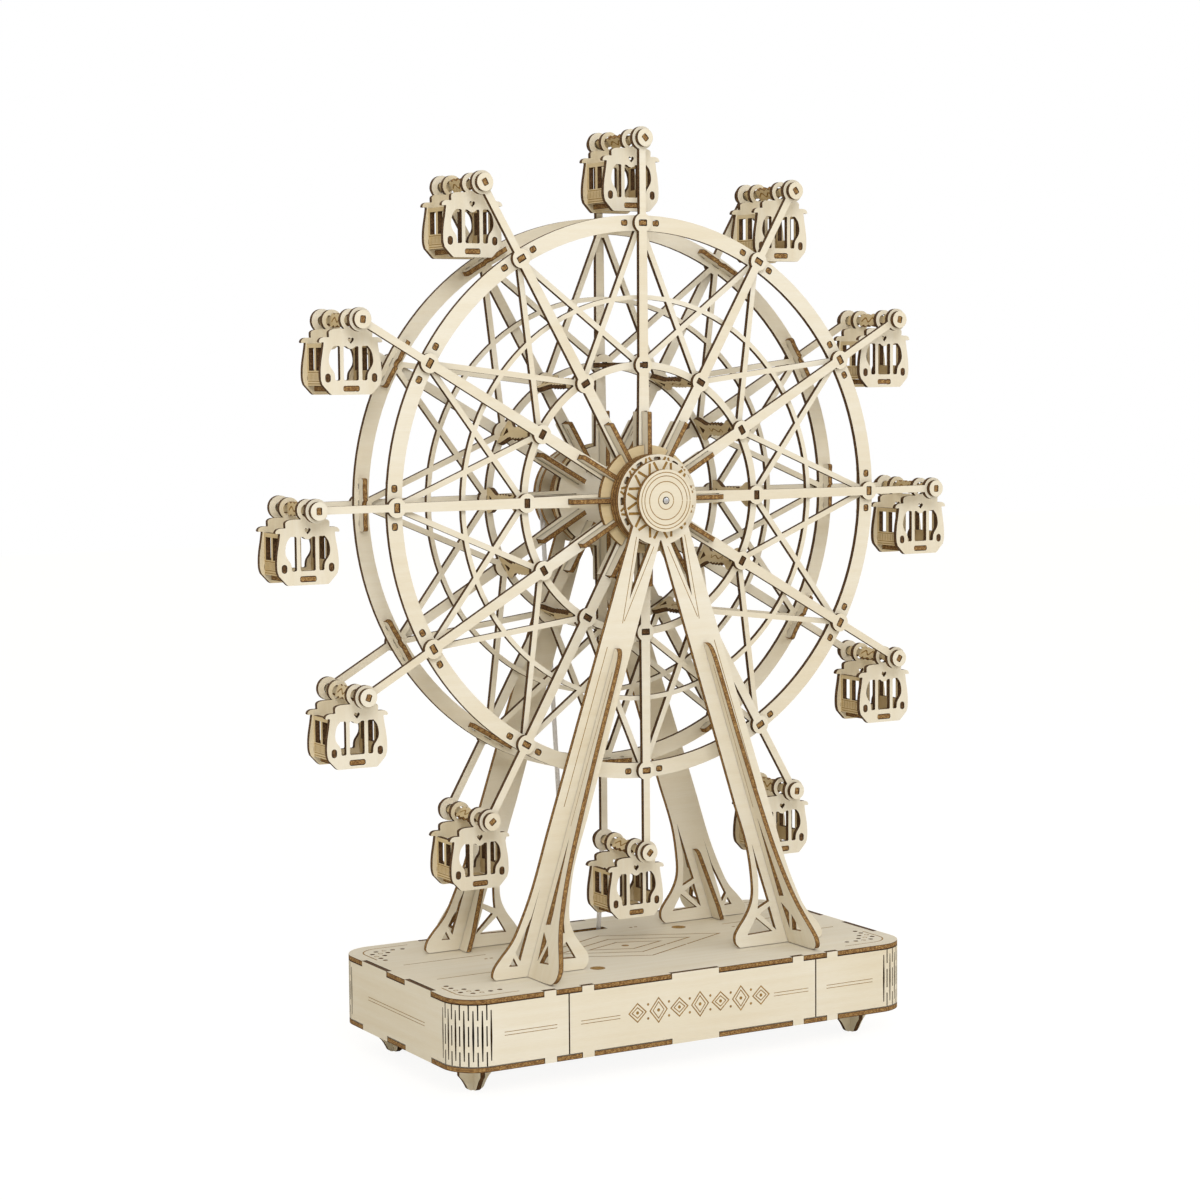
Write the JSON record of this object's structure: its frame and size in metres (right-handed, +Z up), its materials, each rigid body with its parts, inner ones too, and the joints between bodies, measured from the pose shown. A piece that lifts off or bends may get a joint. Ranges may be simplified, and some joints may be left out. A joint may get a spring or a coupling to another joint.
{
  "type": "ferris wheel model kit",
  "caption": "Laser-cut plywood ferris wheel with hanging gondolas between two A-shaped towers, turned by a belt from a wind-up movement in its base.",
  "frame": {"origin": "on the table under the middle of the base", "axes": "+Z up, +X to the right seen from the front, the front of the wheel faces -Y; the wheel turns about Y"},
  "size_m": [0.3134, 0.11, 0.3733],
  "materials": {
    "birch_plywood": "raw birch plywood with laser-browned edges",
    "steel": "bright steel",
    "clear_belt": "clear elastic cord",
    "brass": "stamped brass"
  },
  "bodies": {
    "stand": {"bottom_plate": "birch_plywood", "top_plate": "birch_plywood", "front_panel": "birch_plywood", "back_panel": "birch_plywood", "left_wrap_panel": "birch_plywood", "right_wrap_panel": "birch_plywood", "front_left_foot": "birch_plywood", "front_right_foot": "birch_plywood", "back_left_foot": "birch_plywood", "back_right_foot": "birch_plywood", "front_tower": "birch_plywood", "front_left_stiffener": "birch_plywood", "front_left_brace": "birch_plywood", "front_right_stiffener": "birch_plywood", "front_right_brace": "birch_plywood", "back_tower": "birch_plywood", "back_left_stiffener": "birch_plywood", "back_left_brace": "birch_plywood", "back_right_stiffener": "birch_plywood", "back_right_brace": "birch_plywood", "axle_cap": "birch_plywood", "belt": "clear_belt", "music_movement": "steel"},
    "wheel": {"front_rim": "birch_plywood", "back_rim": "birch_plywood", "front_spokes": "birch_plywood", "back_spokes": "birch_plywood", "front_hub": "birch_plywood", "back_hub": "birch_plywood", "axle": "steel", "belt_pulley": "birch_plywood"},
    "drive": {"drive_pulley": "birch_plywood"},
    "key": {"winding_key": "brass"},
    "rod_01": {"hanger_rod_01": "birch_plywood"},
    "gondola_01": {"gondola_01": "birch_plywood"},
    "rod_02": {"hanger_rod_02": "birch_plywood"},
    "gondola_02": {"gondola_02": "birch_plywood"},
    "rod_03": {"hanger_rod_03": "birch_plywood"},
    "gondola_03": {"gondola_03": "birch_plywood"},
    "rod_04": {"hanger_rod_04": "birch_plywood"},
    "gondola_04": {"gondola_04": "birch_plywood"},
    "rod_05": {"hanger_rod_05": "birch_plywood"},
    "gondola_05": {"gondola_05": "birch_plywood"},
    "rod_06": {"hanger_rod_06": "birch_plywood"},
    "gondola_06": {"gondola_06": "birch_plywood"},
    "rod_07": {"hanger_rod_07": "birch_plywood"},
    "gondola_07": {"gondola_07": "birch_plywood"},
    "rod_08": {"hanger_rod_08": "birch_plywood"},
    "gondola_08": {"gondola_08": "birch_plywood"},
    "rod_09": {"hanger_rod_09": "birch_plywood"},
    "gondola_09": {"gondola_09": "birch_plywood"},
    "rod_10": {"hanger_rod_10": "birch_plywood"},
    "gondola_10": {"gondola_10": "birch_plywood"},
    "rod_11": {"hanger_rod_11": "birch_plywood"},
    "gondola_11": {"gondola_11": "birch_plywood"},
    "rod_12": {"hanger_rod_12": "birch_plywood"},
    "gondola_12": {"gondola_12": "birch_plywood"}
  },
  "joints": [
    {"name": "wheel_spin", "type": "hinge", "parent": "stand", "child": "wheel", "pos_m": [0, 0, 0.225], "axis": [0, 1, 0], "continuous": true},
    {"name": "drive_spin", "type": "hinge", "parent": "stand", "child": "drive", "pos_m": [0, 0.0356, 0.0259], "axis": [0, 1, 0], "continuous": true},
    {"name": "key_turn", "type": "hinge", "parent": "stand", "child": "key", "pos_m": [-0.0145, 0.008, 0.0115], "axis": [0, 0, 1], "continuous": true},
    {"name": "rod_01_turn", "type": "hinge", "parent": "wheel", "child": "rod_01", "pos_m": [0, 0, 0.3684], "axis": [0, 1, 0], "continuous": true},
    {"name": "gondola_01_swing", "type": "hinge", "parent": "rod_01", "child": "gondola_01", "pos_m": [0, 0, 0.3684], "axis": [0, 1, 0], "continuous": true},
    {"name": "rod_02_turn", "type": "hinge", "parent": "wheel", "child": "rod_02", "pos_m": [0.0717, 0, 0.34919], "axis": [0, 1, 0], "continuous": true},
    {"name": "gondola_02_swing", "type": "hinge", "parent": "rod_02", "child": "gondola_02", "pos_m": [0.0717, 0, 0.34919], "axis": [0, 1, 0], "continuous": true},
    {"name": "rod_03_turn", "type": "hinge", "parent": "wheel", "child": "rod_03", "pos_m": [0.12419, 0, 0.2967], "axis": [0, 1, 0], "continuous": true},
    {"name": "gondola_03_swing", "type": "hinge", "parent": "rod_03", "child": "gondola_03", "pos_m": [0.12419, 0, 0.2967], "axis": [0, 1, 0], "continuous": true},
    {"name": "rod_04_turn", "type": "hinge", "parent": "wheel", "child": "rod_04", "pos_m": [0.1434, 0, 0.225], "axis": [0, 1, 0], "continuous": true},
    {"name": "gondola_04_swing", "type": "hinge", "parent": "rod_04", "child": "gondola_04", "pos_m": [0.1434, 0, 0.225], "axis": [0, 1, 0], "continuous": true},
    {"name": "rod_05_turn", "type": "hinge", "parent": "wheel", "child": "rod_05", "pos_m": [0.12419, 0, 0.1533], "axis": [0, 1, 0], "continuous": true},
    {"name": "gondola_05_swing", "type": "hinge", "parent": "rod_05", "child": "gondola_05", "pos_m": [0.12419, 0, 0.1533], "axis": [0, 1, 0], "continuous": true},
    {"name": "rod_06_turn", "type": "hinge", "parent": "wheel", "child": "rod_06", "pos_m": [0.0717, 0, 0.10081], "axis": [0, 1, 0], "continuous": true},
    {"name": "gondola_06_swing", "type": "hinge", "parent": "rod_06", "child": "gondola_06", "pos_m": [0.0717, 0, 0.10081], "axis": [0, 1, 0], "continuous": true},
    {"name": "rod_07_turn", "type": "hinge", "parent": "wheel", "child": "rod_07", "pos_m": [0, 0, 0.0816], "axis": [0, 1, 0], "continuous": true},
    {"name": "gondola_07_swing", "type": "hinge", "parent": "rod_07", "child": "gondola_07", "pos_m": [0, 0, 0.0816], "axis": [0, 1, 0], "continuous": true},
    {"name": "rod_08_turn", "type": "hinge", "parent": "wheel", "child": "rod_08", "pos_m": [-0.0717, 0, 0.10081], "axis": [0, 1, 0], "continuous": true},
    {"name": "gondola_08_swing", "type": "hinge", "parent": "rod_08", "child": "gondola_08", "pos_m": [-0.0717, 0, 0.10081], "axis": [0, 1, 0], "continuous": true},
    {"name": "rod_09_turn", "type": "hinge", "parent": "wheel", "child": "rod_09", "pos_m": [-0.12419, 0, 0.1533], "axis": [0, 1, 0], "continuous": true},
    {"name": "gondola_09_swing", "type": "hinge", "parent": "rod_09", "child": "gondola_09", "pos_m": [-0.12419, 0, 0.1533], "axis": [0, 1, 0], "continuous": true},
    {"name": "rod_10_turn", "type": "hinge", "parent": "wheel", "child": "rod_10", "pos_m": [-0.1434, 0, 0.225], "axis": [0, 1, 0], "continuous": true},
    {"name": "gondola_10_swing", "type": "hinge", "parent": "rod_10", "child": "gondola_10", "pos_m": [-0.1434, 0, 0.225], "axis": [0, 1, 0], "continuous": true},
    {"name": "rod_11_turn", "type": "hinge", "parent": "wheel", "child": "rod_11", "pos_m": [-0.12419, 0, 0.2967], "axis": [0, 1, 0], "continuous": true},
    {"name": "gondola_11_swing", "type": "hinge", "parent": "rod_11", "child": "gondola_11", "pos_m": [-0.12419, 0, 0.2967], "axis": [0, 1, 0], "continuous": true},
    {"name": "rod_12_turn", "type": "hinge", "parent": "wheel", "child": "rod_12", "pos_m": [-0.0717, 0, 0.34919], "axis": [0, 1, 0], "continuous": true},
    {"name": "gondola_12_swing", "type": "hinge", "parent": "rod_12", "child": "gondola_12", "pos_m": [-0.0717, 0, 0.34919], "axis": [0, 1, 0], "continuous": true}
  ],
  "couplings": [
    {"joint": "drive_spin", "follows": "wheel_spin", "ratio": 2.5714},
    {"joint": "rod_01_turn", "follows": "wheel_spin", "ratio": -1},
    {"joint": "rod_02_turn", "follows": "wheel_spin", "ratio": -1},
    {"joint": "rod_03_turn", "follows": "wheel_spin", "ratio": -1},
    {"joint": "rod_04_turn", "follows": "wheel_spin", "ratio": -1},
    {"joint": "rod_05_turn", "follows": "wheel_spin", "ratio": -1},
    {"joint": "rod_06_turn", "follows": "wheel_spin", "ratio": -1},
    {"joint": "rod_07_turn", "follows": "wheel_spin", "ratio": -1},
    {"joint": "rod_08_turn", "follows": "wheel_spin", "ratio": -1},
    {"joint": "rod_09_turn", "follows": "wheel_spin", "ratio": -1},
    {"joint": "rod_10_turn", "follows": "wheel_spin", "ratio": -1},
    {"joint": "rod_11_turn", "follows": "wheel_spin", "ratio": -1},
    {"joint": "rod_12_turn", "follows": "wheel_spin", "ratio": -1}
  ]
}
